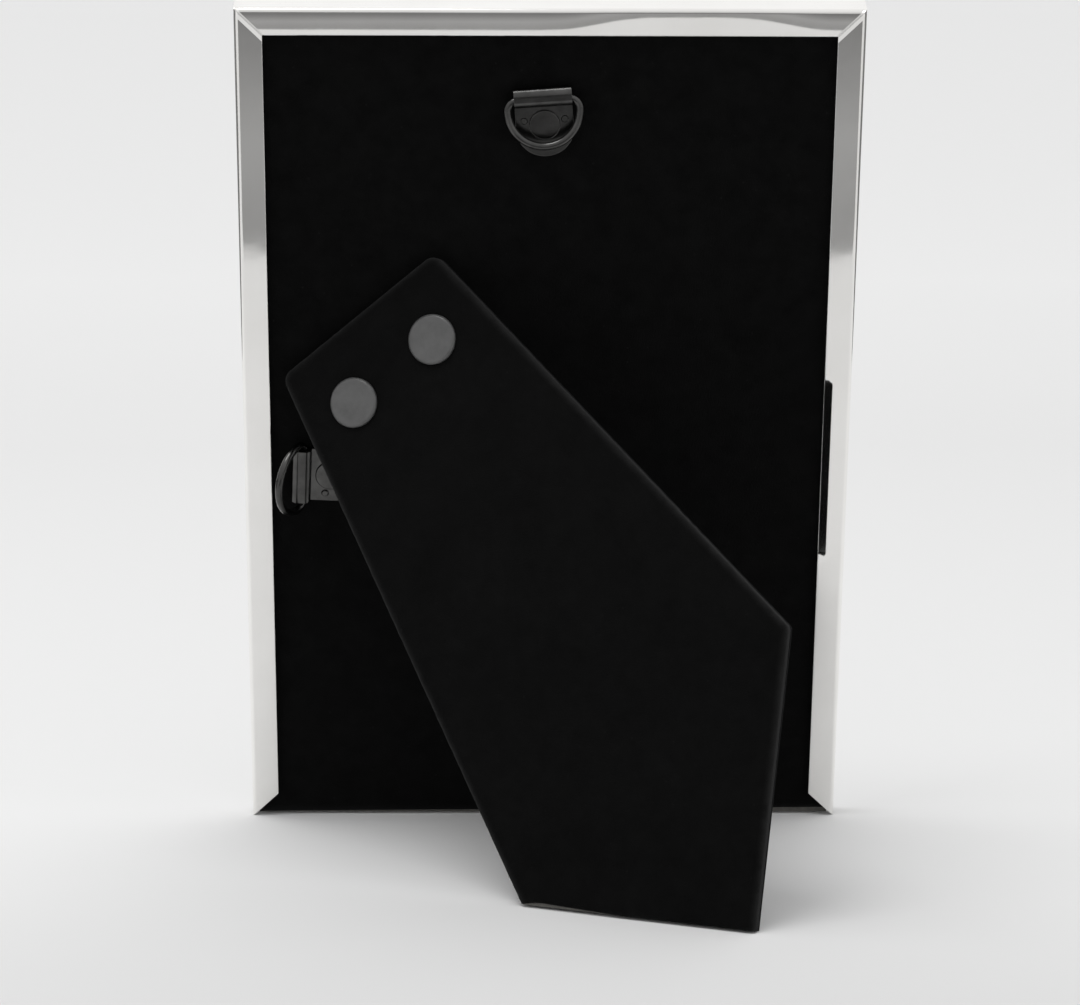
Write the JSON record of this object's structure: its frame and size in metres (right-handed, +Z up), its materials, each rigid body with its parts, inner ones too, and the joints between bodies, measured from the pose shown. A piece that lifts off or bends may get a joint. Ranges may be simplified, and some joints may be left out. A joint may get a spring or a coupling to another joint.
{
  "type": "easel back photo frame",
  "caption": "Standing photo frame with polished metal rails, a sliding black velvet back, a slanted hinged strut and two wire ring hangers.",
  "frame": {"origin": "middle of the frame's lower rear edge, on the table that it stands on", "axes": "+Z up from the table, +Y to the rear, where the strut stands, +X to the left as seen from behind"},
  "size_m": [0.11, 0.0862, 0.156],
  "materials": {
    "polished_rim": "polished",
    "black_velvet": "matte",
    "raw_board": "matte",
    "lining_paper": "matte",
    "print_paper": "satin",
    "clear_glass": "gloss",
    "dark_nickel": "satin",
    "grey_rivet": "satin"
  },
  "bodies": {
    "frame": {"frame_left": "polished_rim", "frame_right": "polished_rim", "frame_top": "polished_rim", "frame_bottom": "polished_rim", "glass_pane": "clear_glass", "photo_print": "print_paper"},
    "easel_back": {"back_board": "raw_board", "back_velvet": "black_velvet", "back_lining": "lining_paper", "hinge_board_leaf": "dark_nickel", "hinge_pin": "dark_nickel", "hinge_board_rivets": "grey_rivet", "hanger_top_strap": "dark_nickel", "hanger_top_rivet": "dark_nickel", "hanger_side_strap": "dark_nickel", "hanger_side_rivet": "dark_nickel"},
    "strut": {"strut_board": "raw_board", "strut_velvet_inner": "black_velvet", "strut_velvet_outer": "black_velvet", "strut_rivets": "grey_rivet", "hinge_strut_leaf": "dark_nickel"},
    "ring_top": {"hanger_top_ring": "dark_nickel"},
    "ring_side": {"hanger_side_ring": "dark_nickel"}
  },
  "joints": [
    {"name": "back_slide", "type": "slide", "parent": "frame", "child": "easel_back", "axis": [0, -0.2538, -0.9673], "range_m": [0, 0.15]},
    {"name": "strut_hinge", "type": "hinge", "parent": "easel_back", "child": "strut", "pos_m": [0.031, 0.02595, 0.09575], "axis": [-0.7524, 0.1671, 0.6371], "range_deg": [0, 35.5]},
    {"name": "top_ring_swing", "type": "hinge", "parent": "easel_back", "child": "ring_top", "pos_m": [0.0012, 0.03741, 0.13865], "axis": [0.9974, -0.0181, -0.0692], "range_deg": [-10, 155]},
    {"name": "side_ring_swing", "type": "hinge", "parent": "easel_back", "child": "ring_side", "pos_m": [0.04425, 0.01903, 0.06862], "axis": [0.0436, -0.2535, -0.9663], "range_deg": [-70, 49]}
  ]
}
